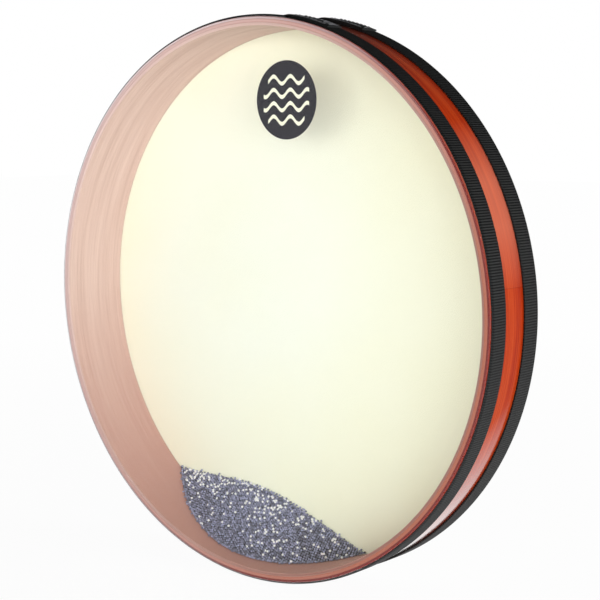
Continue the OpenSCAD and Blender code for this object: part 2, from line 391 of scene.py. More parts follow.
@dataclass(frozen=True)
class Wood(Finish):
    """Bent ply whose grain runs round the shell, on its walls and on its rims alike.

    Its three kinds of streaks, grain, figure and pores, each have a pitch and a length. A painted
    reflection pales the stain past the outer ply's seam, and painted shade darkens the wall towards the
    foot, where a colour is given.
    """

    pale: Colour
    middle: Colour
    deep: Colour
    ply: Ring
    axis_z: float
    rim: Rim
    # Painted reflection that pales the stain past the outer ply's seam, and how it grows and fades.
    painted_reflection: Colour | None = None
    painted_reflection_share: float = 0.42
    painted_reflection_from: float = 6.5
    painted_reflection_to: float = 40.0
    painted_reflection_rise: float = 11.0
    painted_reflection_start: float = 0.1
    painted_reflection_fade: float = 0.6
    # Painted shade: the colour that the wall darkens to towards its foot.
    foot: Colour | None = None
    streaks: tuple[Weights, ...] = ((1.1 * MM, 90 * MM), (9 * MM, 180 * MM), (0.35 * MM, 15 * MM))
    streak_detail: float = 4.0
    tone_weights: Weights = (0.45, 0.4, 0.15)
    tone_from: float = 0.36
    tone_to: float = 0.64
    relief_weights: Weights = (0.6, 0.4)
    pore_depth: float = 0.05 * MM
    roughness: float = 0.34
    pore_swing: float = 0.16
    gloss: float = 0.05
    lacquer: float = 0.0
    lacquer_from: float = 0.56
    lacquer_to: float = 0.94
    lacquer_roughness: float = 0.16

    def shader(self, nodes: Nodes) -> Wire:
        """Grain, figure and pores, under lacquer where it has some."""
        x, y, z = nodes.place()
        up = z - self.axis_z
        radius = nodes.length(x, up)
        across = y + radius
        grain, figure, pores = (
            nodes.noise(nodes.join(x / length, across / pitch, up / length), detail=self.streak_detail)
            for pitch, length in self.streaks
        )
        weighed = nodes.weigh((grain, figure, pores), self.tone_weights)
        tone = nodes.spread(weighed, self.tone_from, self.tone_to)
        colour = nodes.ramp(tone, [(0.0, self.deep), (0.5, self.middle), (1.0, self.pale)])
        # Painted reflection: the stain pales past the outer ply's seam.
        if self.painted_reflection:
            colour = nodes.mix(self._painted_reflection_past_seam(nodes, x, up) * self.painted_reflection_share, colour, self.painted_reflection)
        # Painted shade darkens the wall towards its foot.
        if self.foot:
            colour = nodes.mix(nodes.spread(up / radius, 0.0, -1.0), colour, self.foot)
        cut = nodes.spread(nodes.math("ABSOLUTE", y), self.ply.high_y - self.rim.fade, self.ply.high_y)
        wood = nodes.surface(
            Base_Color=nodes.mix(cut, colour, self._rim_colour(nodes, x, up, radius, grain)),
            Roughness=self.roughness + (0.5 - pores) * self.pore_swing,
            Normal=nodes.bumped(nodes.weigh((pores, grain), self.relief_weights), self.pore_depth),
            Specular_IOR_Level=self.gloss,
        )
        if not self.lacquer:
            return wood
        coat = nodes.surface(Base_Color=WHITE, Metallic=1.0, Roughness=self.lacquer_roughness)
        slant = nodes.spread(nodes.slant(), self.lacquer_from, self.lacquer_to)
        return nodes.blend(slant * self.lacquer, wood, coat)

    def _painted_reflection_past_seam(self, nodes: Nodes, x: Wire, up: Wire) -> Wire:
        """How strong the painted reflection is: it grows past the seam and falls to 0 further round."""
        turn = (nodes.math("ARCTAN2", up, x) - math.radians(self.painted_reflection_from)) / math.tau
        past = nodes.math("FRACT", turn + 1.0)
        reach = (self.painted_reflection_to - self.painted_reflection_from) / 360
        rise = nodes.spread(past, 0.0, self.painted_reflection_rise / 360)
        grown = self.painted_reflection_start + (1 - self.painted_reflection_start) * rise
        return nodes.spread(past, reach, reach * self.painted_reflection_fade) * grown

    def _rim_colour(self, nodes: Nodes, x: Wire, up: Wire, radius: Wire, grain: Wire) -> Wire:
        """The cut end: painted highlight on one side, painted shade opposite, darker at the glue."""
        rim = self.rim
        # Painted highlight and shade: the cut end is paler towards one side of the shell.
        angle = math.radians(rim.painted_light_a)
        side = (x * math.cos(angle) + up * math.sin(angle)) / radius
        share = nodes.spread(side + (grain - 0.5) * rim.grain_swing, rim.painted_light_from, rim.painted_light_to)
        middle = (self.ply.inner_r + self.ply.outer_r) / 2
        half = (self.ply.outer_r - self.ply.inner_r) / 2
        glued = nodes.spread(nodes.math("ABSOLUTE", radius - middle), half - rim.glue_w, half)
        return nodes.mix(glued * rim.glue, nodes.mix(share, rim.deep, rim.pale), self.deep)


@dataclass(frozen=True)
class ClearFilm(Finish):
    """Clear drum film: it passes what is behind it, with a faint haze and a gloss at a slant."""

    tint: Colour
    haze: float = 0.011
    even_share: float = 0.7
    cloud_share: float = 0.4
    cloud_pitch: float = 60 * MM
    scuff_share: float = 0.2
    scuff_pitch: float = 3 * MM
    scuff_rough: float = 0.7
    face_gloss: float = 0.016
    gloss_power: float = 5.0
    gloss_roughness: float = 0.08
    scuff_swing: float = 0.05

    def shader(self, nodes: Nodes) -> Wire:
        """A clear pane, hazed in clouds and scuffs, with a gloss that grows at a slant."""
        here = nodes.here()
        clouds = nodes.noise(here, 1 / self.cloud_pitch, detail=2.0)
        scuffs = nodes.noise(here, 1 / self.scuff_pitch, detail=5.0, rough=self.scuff_rough)
        veil = nodes.surface(Base_Color=linear(self.tint), Roughness=0.5)
        clear = nodes.wire("ShaderNodeBsdfTransparent")
        share = self.haze * (self.even_share + clouds * self.cloud_share + scuffs * self.scuff_share)
        roughness = self.gloss_roughness + scuffs * self.scuff_swing
        gloss = nodes.surface(Base_Color=WHITE, Metallic=1.0, Roughness=roughness)
        glossed = self.face_gloss + (1 - self.face_gloss) * nodes.slant() ** self.gloss_power
        return nodes.blend(glossed, nodes.blend(share, clear, veil), gloss)


@dataclass(frozen=True)
class IvoryFilm(Finish):
    """Ivory drum film with a fine fibrous mottle and painted shade that warms it away from its lit place.
    """

    pale: Colour
    painted_shade_warm: Colour
    fibre: Colour
    axis_z: float
    # The painted lit place, and where the painted shade starts and is full.
    painted_light_x: float = -70 * MM
    painted_light_up: float = 30 * MM
    painted_shade_from: float = 90 * MM
    painted_shade_to: float = 300 * MM
    cloud_pitch: float = 160 * MM
    cloud_from: float = 0.3
    cloud_to: float = 0.7
    tone_weights: Weights = (0.75, 0.25)
    fibre_pitch: float = 1.6 * MM
    fibre_stretch: float = 4.0
    fibre_depth: float = 0.015 * MM
    fleck_from: float = 0.58
    fleck_to: float = 0.8
    fleck_share: float = 0.4
    roughness: float = 0.42
    fibre_swing: float = 0.15

    def shader(self, nodes: Nodes) -> Wire:
        """Painted shade warming away from the lit place, in faint clouds, under fibres both ways."""
        here = nodes.here()
        x, y, z = nodes.split(here)
        # Painted shade: the tone warms and darkens away from the painted lit place.
        far = nodes.length(x - self.painted_light_x, z - self.axis_z - self.painted_light_up)
        edge = nodes.spread(far, self.painted_shade_from, self.painted_shade_to)
        mottle = nodes.noise(here, 1 / self.cloud_pitch, detail=2.0)
        clouds = nodes.spread(mottle, self.cloud_from, self.cloud_to)
        short, long = self.fibre_pitch, self.fibre_pitch * self.fibre_stretch
        level = nodes.noise(nodes.join(x / long, y, z / short), detail=4.0)
        upright = nodes.noise(nodes.join(x / short, y, z / long), detail=4.0)
        fibres = nodes.math("MAXIMUM", level, upright)
        tone = nodes.mix(nodes.weigh((edge, clouds), self.tone_weights), self.pale, self.painted_shade_warm)
        flecks = nodes.spread(fibres, self.fleck_from, self.fleck_to) * self.fleck_share
        return nodes.surface(
            Base_Color=nodes.mix(flecks, tone, self.fibre),
            Roughness=self.roughness + fibres * self.fibre_swing,
            Normal=nodes.bumped(fibres, self.fibre_depth),
        )


@dataclass(frozen=True)
class Woven(Finish):
    """Black nylon webbing. It reads how far along and across the band a point lies.

    The weights are those of its ribs, yarns, filaments and, in the colour alone, dust. In the colour, the
    ribs' and yarns' crowns are worn and painted highlight, and their hollows are painted shade; the
    filaments and dust are wear.
    """

    dark: Colour
    light: Colour
    rib_pitch: float
    yarn_pitch: float = 1.25 * MM
    yarn_depth: float = 0.3 * MM
    filament_pitch: float = 0.16 * MM
    filament_stretch: float = 4.0
    dust_scale: float = 180.0
    # Weights and range of the colour mix of wear and of painted light and shade.
    wear_and_shade_weights: Weights = (0.8, 0.25, 0.2, 0.25)
    wear_and_shade_from: float = 0.5
    wear_and_shade_to: float = 1.2
    relief_weights: Weights = (0.5, 0.3, 0.2)
    roughness: float = 0.45
    filament_swing: float = 0.2
    gloss: float = 0.33

    def shader(self, nodes: Nodes) -> Wire:
        """Warp yarns on ribs, with filaments and dust; worn, painted-lit crowns; painted shade in hollows.
        """
        along = nodes.attribute("along")
        across = nodes.attribute("across")
        rib = nodes.wave(along * (math.tau / self.rib_pitch))
        row = nodes.math("FLOOR", along / self.rib_pitch)
        shift = nodes.math("MODULO", row, 2.0) * (self.yarn_pitch / 2)
        yarn = nodes.wave((across + shift) * (math.tau / self.yarn_pitch))
        pitch = self.filament_pitch
        fine = nodes.join(along / (self.filament_stretch * pitch), across / pitch, 0.0)
        filaments = nodes.noise(fine, detail=2.0)
        dust = nodes.noise(nodes.join(along, across, 0.0), self.dust_scale, detail=4.0)
        parts = (rib, yarn, filaments, dust)
        # Partly wear (filaments, dust) and partly painted light: lighter crowns, painted shade in hollows.
        worn_and_shaded = nodes.spread(nodes.weigh(parts, self.wear_and_shade_weights), self.wear_and_shade_from, self.wear_and_shade_to)
        return nodes.surface(
            Base_Color=nodes.mix(worn_and_shaded, self.dark, self.light),
            Roughness=self.roughness + filaments * self.filament_swing,
            Normal=nodes.bumped(nodes.weigh(parts, self.relief_weights), self.yarn_depth),
            Specular_IOR_Level=self.gloss,
        )


@dataclass(frozen=True)
class Thread(Finish):
    """Twisted sewing thread, with painted glints on its plies."""

    dark: Colour
    light: Colour
    twist_pitch: float = 0.45 * MM
    twist_lean: float = 0.7
    twist_depth: float = 0.08 * MM
    tone_weights: Weights = (0.7, 0.3)
    roughness: float = 0.5
    lint_swing: float = 0.25
    sheen: float = 0.3

    def shader(self, nodes: Nodes) -> Wire:
        """Plies of the thread, as slanting bands of painted glint and dark."""
        here = nodes.here()
        x, y, z = nodes.split(here)
        wave = nodes.wave((x + y * self.twist_lean + z) * (math.tau / self.twist_pitch), "SINE")
        lint = nodes.noise(here, 1 / self.twist_pitch, detail=2.0)
        return nodes.surface(
            Base_Color=nodes.mix(nodes.weigh((wave, lint), self.tone_weights), self.dark, self.light),
            Roughness=self.roughness + lint * self.lint_swing,
            Normal=nodes.bumped(wave, self.twist_depth),
            Sheen_Weight=self.sheen,
        )


@dataclass(frozen=True)
class Mottled(Finish):
    """Two close tones, mixed by a fine mottle, as on printed ink or, more coarsely, on plated wire."""

    first: Colour
    second: Colour
    pitch: float = 0.6 * MM
    detail: float = 3.0
    mottle_rough: float = 0.7
    mottle_from: float = 0.35
    mottle_to: float = 0.65
    metallic: float = 0.0
    roughness: float = 0.45
    swing: float = 0.2
    gloss: float = 0.1

    def shader(self, nodes: Nodes) -> Wire:
        """The two tones, rougher where the second shows."""
        mottle = nodes.noise(nodes.here(), 1 / self.pitch, self.detail, self.mottle_rough)
        share = nodes.spread(mottle, self.mottle_from, self.mottle_to)
        return nodes.surface(
            Base_Color=nodes.mix(share, self.first, self.second),
            Metallic=self.metallic,
            Roughness=self.roughness + mottle * self.swing,
            Specular_IOR_Level=self.gloss,
        )


@dataclass(frozen=True)
class PackedShot(Finish):
    """The beads inside the heap, as they show between the balls that cover them, dark as painted shade."""

    dark: Colour
    light: Colour
    bead_d: float
    disorder: float = 0.6
    painted_gap_shade_from: float = 0.1
    painted_gap_shade_to: float = 0.75
    metallic: float = 0.3
    roughness: float = 0.35
    gap_swing: float = 0.4

    def shader(self, nodes: Nodes) -> Wire:
        """Rounded cells of the size of a bead, with painted shade between them."""
        sockets = {"Vector": nodes.here(), "Scale": 1 / self.bead_d, "Randomness": self.disorder}
        apart = nodes.wire("ShaderNodeTexVoronoi", sockets=sockets, output="Distance")
        # Painted shade between the beads.
        crown = 1 - nodes.spread(apart, self.painted_gap_shade_from, self.painted_gap_shade_to)
        return nodes.surface(
            Base_Color=nodes.mix(crown, self.dark, self.light),
            Metallic=self.metallic,
            Roughness=self.roughness + (1 - crown) * self.gap_swing,
            Normal=nodes.bumped(crown, self.bead_d / 4),
        )


@dataclass(frozen=True)
class Bead(Finish):
    """Small balls, each with a tone of its own that it carries as a number."""

    dark: Colour
    light: Colour
    metallic: float
    roughness: float
    scuff_pitch: float = 0.5 * MM
    scuff_tone: float = 0.4
    scuff_swing: float = 0.15

    def shader(self, nodes: Nodes) -> Wire:
        """The ball's own tone, with small scuffs."""
        scuffs = nodes.noise(nodes.here(), 1 / self.scuff_pitch)
        tone = nodes.attribute("tone") * (1 - self.scuff_tone / 2 + scuffs * self.scuff_tone)
        return nodes.surface(
            Base_Color=nodes.mix(tone, self.dark, self.light),
            Metallic=self.metallic,
            Roughness=self.roughness + scuffs * self.scuff_swing,
        )


@dataclass(frozen=True)
class FloorWhite(Finish):
    """Matt white, lit a little from within, that keeps the drum's shadow."""

    tone: float = 0.9
    glow: float = 0.52
    near_lift: float = 0.96
    far_lift: float = 0.99
    fade_from: float = 0.25
    fade_to: float = 1.6

    def shader(self, nodes: Nodes) -> Wire:
        """White that grows purer away from the drum, where it is seen, and is softer as a light."""
        matt = nodes.wire("ShaderNodeBsdfDiffuse", Color=(self.tone, self.tone, self.tone, 1))
        lit = nodes.wire("ShaderNodeEmission", Color=WHITE, Strength=1.0)
        x, y, _ = nodes.place()
        far = nodes.spread(nodes.length(x, y), self.fade_from, self.fade_to)
        lift = self.near_lift + far * (self.far_lift - self.near_lift)
        seen, glossy = nodes.rays()
        return nodes.blend(self.glow + (seen + glossy) * (lift - self.glow), matt, lit)


class Tree(Nodes):
    """A geometry tree that grows a piece from a seed mesh and stands it up.

    Beside the seed's Geometry and a Material, it takes the inputs that INPUTS names by their kind.
    """

    NAME = ""
    INPUTS: dict[str, tuple[str, ...]] = {}

    def __init__(self, axis_z: float) -> None:
        """Builds the whole tree.

        Args:
            axis_z: The height of the shell's axis.
        """
        super().__init__(bpy.data.node_groups.new(self.NAME, "GeometryNodeTree"))
        panel = self.tree.interface
        panel.new_socket("Geometry", in_out="OUTPUT", socket_type="NodeSocketGeometry")
        for kind, titles in {"Geometry": ("Geometry",), **self.INPUTS, "Material": ("Material",)}.items():
            for title in titles:
                panel.new_socket(title, in_out="INPUT", socket_type="NodeSocket" + kind)
        group = self.add("NodeGroupInput", {}, {})
        self.given = {socket.name: Wire(self, socket) for socket in group.outputs if socket.name}
        sockets = {"Geometry": self.grown(), "Translation": (0, 0, axis_z), "Rotation": (math.pi / 2, 0, 0)}
        upright = self.wire("GeometryNodeTransform", sockets=sockets)
        real = self.wire("GeometryNodeRealizeInstances", Geometry=upright)
        done = self.wire("GeometryNodeSetMaterial", Geometry=real, Material=self.given["Material"])
        self.add("NodeGroupOutput", {}, {0: done})

    def grown(self) -> Wire:
        """The piece's geometry, lying on its back, which each kind makes in its own way."""
        raise NotImplementedError

    def here(self) -> Wire:
        """Where a point of the geometry lies."""
        return self.wire("GeometryNodeInputPosition")

    def named(self, name: str, kind: str = "FLOAT") -> Wire:
        """What the points carry under a name."""
        return self.wire("GeometryNodeInputNamedAttribute", {"data_type": kind}, Name=name)

    def compare(self, operation: str, first: Wire, second: Wire) -> Wire:
        """Whether one number stands to another as the operation says."""
        return self.wire("FunctionNodeCompare", {"operation": operation}, {0: first, 1: second})

    def logic(self, operation: str, first: Wire, second: Wire) -> Wire:
        """The result of a Boolean Math node."""
        return self.wire("FunctionNodeBooleanMath", {"operation": operation}, {0: first, 1: second})

    def swept(self, curve: Wire, outline: Wire) -> Wire:
        """An outline drawn along a curve, closed at its ends."""
        return self.wire("GeometryNodeCurveToMesh", Curve=curve, Profile_Curve=outline, Fill_Caps=True)

    def tube(self, curve: Wire, sides: int) -> Wire:
        """A thread of the given Thickness along a curve."""
        sockets = {"Resolution": sides, "Radius": self.given["Thickness"] * 0.5}
        return self.swept(curve, self.wire("GeometryNodeCurvePrimitiveCircle", sockets=sockets))

    def random_vector(self, low: "Wire | Place", high: "Wire | Place", **sockets: Wire) -> Wire:
        """A random vector for each point, between two others."""
        ends = {0: low, 1: high}
        return self.wire("FunctionNodeRandomValue", {"data_type": "FLOAT_VECTOR"}, ends, **sockets)


class SweepTree(Tree):
    """The tree that draws a section along a path, for the plies, the films and the bands."""

    NAME = "sweep"
    INPUTS = {
        "Object": ("Section",),
        "Float": ("Rib pitch", "Rib depth", "Seam radius", "Seam slant", "Crease", "Weld"),
    }

    def grown(self) -> Wire:
        """The swept section with its ribs and its slanted seam, welded and creased."""
        path = self.wire("GeometryNodeMeshToCurve", Mesh=self.given["Geometry"])
        level = self.wire("GeometryNodeSetCurveNormal", {"mode": "Z_UP"}, Curve=path)
        section = self.wire("GeometryNodeObjectInfo", output="Geometry", Object=self.given["Section"])
        outline = self.wire("GeometryNodeMeshToCurve", Mesh=section)
        strip = self._scarfed(self._ribbed(self.swept(level, outline)))
        welded = self.wire("GeometryNodeMergeByDistance", Geometry=strip, Distance=self.given["Weld"])
        smooth = self.wire("GeometryNodeSetShadeSmooth", {"domain": "FACE"}, Geometry=welded)
        angle = self.wire("GeometryNodeInputMeshEdgeAngle")
        sharp = self.compare("GREATER_THAN", angle, self.given["Crease"])
        sockets = {"Geometry": smooth, "Selection": sharp, "Shade Smooth": False}
        return self.wire("GeometryNodeSetShadeSmooth", {"domain": "EDGE"}, sockets)

    def _ribbed(self, strip: Wire) -> Wire:
        """Sinks the valleys between ribs, where the section's crown lets them show."""
        wave = self.math("COSINE", self.named("along") * math.tau / self.given["Rib pitch"])
        sink = (wave * 0.5 - 0.5) * self.named("crown") * self.given["Rib depth"]
        x, y, _ = self.place()
        outward = self.vector_math("NORMALIZE", self.join(x, y, 0.0))
        offset = self.vector_math("SCALE", outward, Scale=sink)
        return self.wire("GeometryNodeSetPosition", Geometry=strip, Offset=offset)

    def _scarfed(self, strip: Wire) -> Wire:
        """Turns the ring's layers against each other, so that its seam runs at a slant."""
        here = self.here()
        x, y, _ = self.split(here)
        seam_r = self.given["Seam radius"]
        angle = (self.length(x, y) - seam_r) / seam_r * self.given["Seam slant"]
        settings = {"rotation_type": "Z_AXIS"}
        turned = self.wire("ShaderNodeVectorRotate", settings, Vector=here, Angle=angle)
        return self.wire("GeometryNodeSetPosition", Geometry=strip, Position=turned)


class StitchTree(Tree):
    """The tree that sets an arched stitch on every point, turned as the point says."""

    NAME = "stitches"
    INPUTS = {"Float": ("Length", "Thickness", "Arch", "Wander"), "Int": ("Seed",)}
    BENDS = 8
    SIDES = 8
    TIP_SHARE = 0.4

    def grown(self) -> Wire:
        """Stitches that arch out of the webbing and wander a little to each side."""
        length, wander = self.given["Length"], self.given["Wander"]
        ends = {0: self.join(length * -0.5, 0.0, 0.0), 1: self.join(length * 0.5, 0.0, 0.0)}
        line = self.wire("GeometryNodeCurvePrimitiveLine", sockets=ends)
        bendable = self.wire("GeometryNodeResampleCurve", Curve=line, Count=self.BENDS)
        share = self.wire("GeometryNodeSplineParameter", output="Factor") * 2.0 - 1.0
        drop = self.join(0.0, 0.0, share * share * share * share * self.given["Arch"] * -1.0)
        arched = self.wire("GeometryNodeSetPosition", Geometry=bendable, Offset=drop)
        low = self.join(0.0, wander * -self.TIP_SHARE, wander * -1.0)
        high = self.join(0.0, wander * self.TIP_SHARE, wander)
        tilt = self.random_vector(low, high, Seed=self.given["Seed"])
        facing, tilted = (
            self.wire("FunctionNodeEulerToRotation", sockets={0: angles})
            for angles in (self.named("turn", "FLOAT_VECTOR"), tilt)
        )
        settings = {"rotation_space": "LOCAL"}
        rotation = self.wire("FunctionNodeRotateRotation", settings, {0: facing, 1: tilted})
        points = self.wire("GeometryNodeMeshToPoints", Mesh=self.given["Geometry"])
        stitch = self.tube(arched, self.SIDES)
        return self.wire("GeometryNodeInstanceOnPoints", Points=points, Instance=stitch, Rotation=rotation)


class ThreadTree(Tree):
    """The tree that runs a round thread along a path and rounds its corners."""

    NAME = "thread"
    INPUTS = {"Float": ("Thickness",)}
    BENDS = 48
    SIDES = 6

    def grown(self) -> Wire:
        """The thread, bent smoothly through the path's points."""
        path = self.wire("GeometryNodeMeshToCurve", Mesh=self.given["Geometry"])
        bent = self.wire("GeometryNodeCurveSplineType", {"spline_type": "CATMULL_ROM"}, Curve=path)
        return self.tube(self.wire("GeometryNodeResampleCurve", Curve=bent, Count=self.BENDS), self.SIDES)


class BeadTree(Tree):
    """The tree that sets a ball on every place of one cluster and keeps the dark or the white ones."""

    NAME = "beads"
    INPUTS = {
        "Float": ("Bead", "First share", "Last share", "Jitter", "Wall radius", "Head level"),
        "Bool": ("White",),
        "Int": ("Seed",),
    }
    CUBE_SIDE = 3
    TONE_DRAW = 3
    KIND_DRAW = 5
    TONE_SPREAD = 0.7

    def grown(self) -> Wire:
        """The cluster's balls, each shaken, toned and turned by chance."""
        points = self.wire("GeometryNodeMeshToPoints", Mesh=self.given["Geometry"])
        sockets = {"Geometry": points, "Selection": self._unwanted()}
        kept = self.wire("GeometryNodeDeleteGeometry", {"domain": "POINT"}, sockets)
        tone = self._luck(self.TONE_DRAW) * self.TONE_SPREAD + (1 - self.TONE_SPREAD)
        # The light mark darkens the covered layer as painted shade.
        sockets = {"Geometry": self._shaken(kept), "Name": "tone", "Value": tone * self.named("light")}
        settings = {"data_type": "FLOAT", "domain": "POINT"}
        toned = self.wire("GeometryNodeStoreNamedAttribute", settings, sockets)
        turned = self.random_vector((0, 0, 0), (math.tau,) * 3)
        sockets = {"Points": toned, "Instance": self._ball(), "Rotation": turned}
        return self.wire("GeometryNodeInstanceOnPoints", sockets=sockets)

    def _luck(self, draw: int) -> Wire:
        """A random number from 0 to 1 for each place, the same for every cluster and kind."""
        sockets = {"ID": self.named("number"), "Seed": self.given["Seed"] + float(draw)}
        return self.wire("FunctionNodeRandomValue", {"data_type": "FLOAT"}, sockets, 1)

    def _unwanted(self) -> Wire:
        """True where the place is in another cluster, or its ball is of the other kind."""
        share = self.named("share")
        below = self.compare("LESS_THAN", share, self.given["First share"])
        above = self.compare("GREATER_EQUAL", share, self.given["Last share"])
        white = self.compare("LESS_THAN", self._luck(self.KIND_DRAW), self.named("chance"))
        other = self.logic("XOR", white, self.given["White"])
        return self.logic("OR", self.logic("OR", below, above), other)

    def _shaken(self, points: Wire) -> Wire:
        """Shifts the places a little, and keeps them clear of the wall and the head."""
        low, high = (self.join(*[self.given["Jitter"] * sign] * 3) for sign in (-1.0, 1.0))
        shake = self.random_vector(low, high, ID=self.named("number"), Seed=self.given["Seed"])
        x, y, z = self.split(self.vector_math("ADD", self.here(), shake))
        radius = self.length(x, y)
        inward = self.math("MINIMUM", radius, self.given["Wall radius"]) / radius
        clear = self.join(x * inward, y * inward, self.math("MAXIMUM", z, self.given["Head level"]))
        return self.wire("GeometryNodeSetPosition", Geometry=points, Position=clear)

    def _ball(self) -> Wire:
        """A ball of a few dozen faces, blown up from a cube."""
        counts = {"Vertices " + axis: self.CUBE_SIDE for axis in "XYZ"}
        cube = self.wire("GeometryNodeMeshCube", sockets=counts)
        unit = self.vector_math("NORMALIZE", self.here())
        round_ = self.vector_math("SCALE", unit, Scale=self.given["Bead"] * 0.5)
        ball = self.wire("GeometryNodeSetPosition", Geometry=cube, Position=round_)
        return self.wire("GeometryNodeSetShadeSmooth", {"domain": "FACE"}, Geometry=ball)


class Workshop:
    """Makes meshes, grows pieces from them and hands the finished pieces to the frame."""

    def __init__(self, axis_z: float) -> None:
        """Keeps the height of the shell's axis, and builds the trees that stand pieces up at it."""
        self.axis_z = axis_z
        self.trees = {kind: kind(axis_z).tree for kind in (SweepTree, StitchTree, ThreadTree, BeadTree)}

    @staticmethod
    def mesh_object(
        name: str,
        points: Sequence[Sequence[float]],
        edges: Iterable[tuple[int, int]] = (),
        faces: Iterable[Sequence[int]] = (),
        marks: dict[str, Sequence[float]] | None = None,
    ) -> Thing:
        """Makes a mesh object from its points.

        Args:
            name: The object's name.
            points: x, y and z of each point.
            edges: Pairs of points.
            faces: Rings of points.
            marks: Numbers that the points carry, by the name of the attribute.

        Returns:
            The new object, in the scene.
        """
        mesh = bpy.data.meshes.new(name)
        mesh.from_pydata([tuple(map(float, p)) for p in points], list(edges), list(faces))
        for title, values in (marks or {}).items():
            mark = mesh.attributes.new(title, "FLOAT", "POINT")
            mark.data.foreach_set("value", np.asarray(values, float))
        thing = bpy.data.objects.new(name, mesh)
        bpy.context.scene.collection.objects.link(thing)
        return thing

    def line(self, name: str, points: Sequence, closed: bool, **marks: Sequence[float]) -> Thing:
        """Makes a line of edges through the points, closed into a ring where asked."""
        count = len(points)
        edges = [(i, (i + 1) % count) for i in range(count if closed else count - 1)]
        return self.mesh_object(name, points, edges, marks=marks)

    def grow(self, name: str, seed_object: Thing, kind: type[Tree], **inputs: object) -> Thing:
        """Runs a tree on an object and keeps the result as a plain mesh.

        Args:
            name: The finished piece's name.
            seed_object: What the tree starts from. It is used up.
            kind: The kind of tree.
            **inputs: The tree's inputs, with underscores for spaces.

        Returns:
            The piece, with no modifier on it.
        """
        group = self.trees[kind]
        values = {key.replace("_", " "): value for key, value in inputs.items()}
        modifier = seed_object.modifiers.new("grow", "NODES")
        modifier.node_group = group
        for item in group.interface.items_tree:
            if item.in_out == "INPUT" and item.name in values:
                modifier[item.identifier] = values.pop(item.name)
        if values:
            raise ValueError(f"{kind.NAME} has no input {sorted(values)}")
        graph = bpy.context.evaluated_depsgraph_get()
        result = seed_object.evaluated_get(graph)
        mesh = bpy.data.meshes.new_from_object(result, preserve_all_data_layers=True, depsgraph=graph)
        bpy.data.objects.remove(seed_object)
        self._point_outwards(mesh)
        piece = bpy.data.objects.new(name, mesh)
        bpy.context.scene.collection.objects.link(piece)
        return piece

    def sweep(self, name: str, path: Thing, outline: Thing, **inputs: object) -> Thing:
        """Draws an outline along a path, and uses both up."""
        piece = self.grow(name, path, SweepTree, Section=outline, **inputs)
        bpy.data.objects.remove(outline)
        return piece

    @staticmethod
    def _point_outwards(mesh: bpy.types.Mesh) -> None:
        """Turns all faces over if the mesh is inside out."""
        shape = bmesh.new()
        shape.from_mesh(mesh)
        if shape.calc_volume(signed=True) < 0:
            bmesh.ops.reverse_faces(shape, faces=shape.faces)
            shape.to_mesh(mesh)
        shape.free()

    @staticmethod
    def hand_over(piece: Thing, body: str, slot: str, *nodes: str) -> None:
        """Lets a piece ride with a body, and stand for nodes of the frame where it names some."""
        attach(piece, body)
        if nodes:
            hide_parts(*nodes)
        LOG.info("%s: %d faces, on %s", piece.name, len(piece.data.polygons), body)

    @staticmethod
    def dress(node: str, finish: Material) -> None:
        """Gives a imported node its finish."""
        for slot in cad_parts[node].material_slots:
            slot.material = finish
        LOG.info("%s: kept, finished in %s", node, finish.name)


@dataclass
class Shell:
    """The bent shell of three plies, and the measures that the other pieces take from it."""

    shop: Workshop
    outer: Ring
    core: Ring
    inner: Ring
    rim_round: float = 1.5 * MM
    rim_bevel: float = 0.7 * MM
    seam_w: float = 0.2 * MM
    seam_slant: float = 60.0
    outer_seam_a: float = 6.5
    core_seam_a: float = 126.0
    inner_seam_a: float = 318.0
    round_steps: int = 8
    turn_steps: int = 480
    weld: float = 0.002 * MM
    crease: float = math.radians(32)

    @property
    def half_depth(self) -> float:
        """Half the depth of the shell."""
        return self.outer.width / 2

    def turned(
        self, name: str, section: Sequence[tuple], finish: Material, seam_a: float | None = None
    ) -> Thing:
        """Turns a section round the shell's axis.

        Args:
            name: The piece's name.
            section: Ring of (radius, y) points.
            finish: The piece's material.
            seam_a: Where the ring has its glued seam, or None for a ring with none.

        Returns:
            The turned piece.
        """
        path_r = max(radius for radius, _ in section)
        start, gap, slant = 0.0, 0.0, 0.0
        if seam_a is not None:
            lean = math.radians(self.seam_slant)
            gap = math.degrees(self.seam_w / path_r) / math.cos(lean)
            start, slant = seam_a + gap / 2, math.tan(lean)
        steps = np.arange(self.turn_steps + (seam_a is not None))
        angles = np.radians(start + (360.0 - gap) * steps / self.turn_steps)
        path = self.shop.line(name + "_path", around(path_r, angles), closed=seam_a is None)
        flat = [(radius - path_r, y, 0.0) for radius, y in section]
        outline = self.shop.line(name + "_section", flat, closed=True)
        return self.shop.sweep(
            name, path, outline, Seam_radius=path_r, Seam_slant=slant, Rib_pitch=1.0,
            Crease=self.crease, Weld=self.weld, Material=finish,
        )

    def outer_section(self) -> list[tuple]:
        """The outer ply's section, with its rims rounded outside."""
        r, y, c = self.outer.outer_r, self.half_depth, self.rim_round
        upper = arc((r - c, y - c), c, 0, 90, self.round_steps)
        lower = arc((r - c, c - y), c, -90, 0, self.round_steps)
        return lower + upper + [(self.outer.inner_r, y), (self.outer.inner_r, -y)]

    def square_section(self, ply: Ring, fall: float) -> list[tuple]:
        """A ply's section, with rims that fall away inwards by so much."""
        y, low = self.half_depth, self.half_depth - fall
        return [(ply.inner_r, -low), (ply.outer_r, -y), (ply.outer_r, y), (ply.inner_r, low)]

    def build(self, finishes: Sequence[Material]) -> None:
        """Builds the outer, the core and the inner ply in their finishes."""
        plies = (
            ("outer", "stained_wood", self.outer_section(), self.outer_seam_a),
            ("core", "core_wood", self.square_section(self.core, 0.0), self.core_seam_a),
            ("inner", "inner_wood", self.square_section(self.inner, self.rim_bevel), self.inner_seam_a),
        )
        for (name, slot, section, seam_a), finish in zip(plies, finishes):
            piece = self.turned(name + "_ply", section, finish, seam_a)
            self.shop.hand_over(piece, "drum", slot, f"shell_{name}_ply")


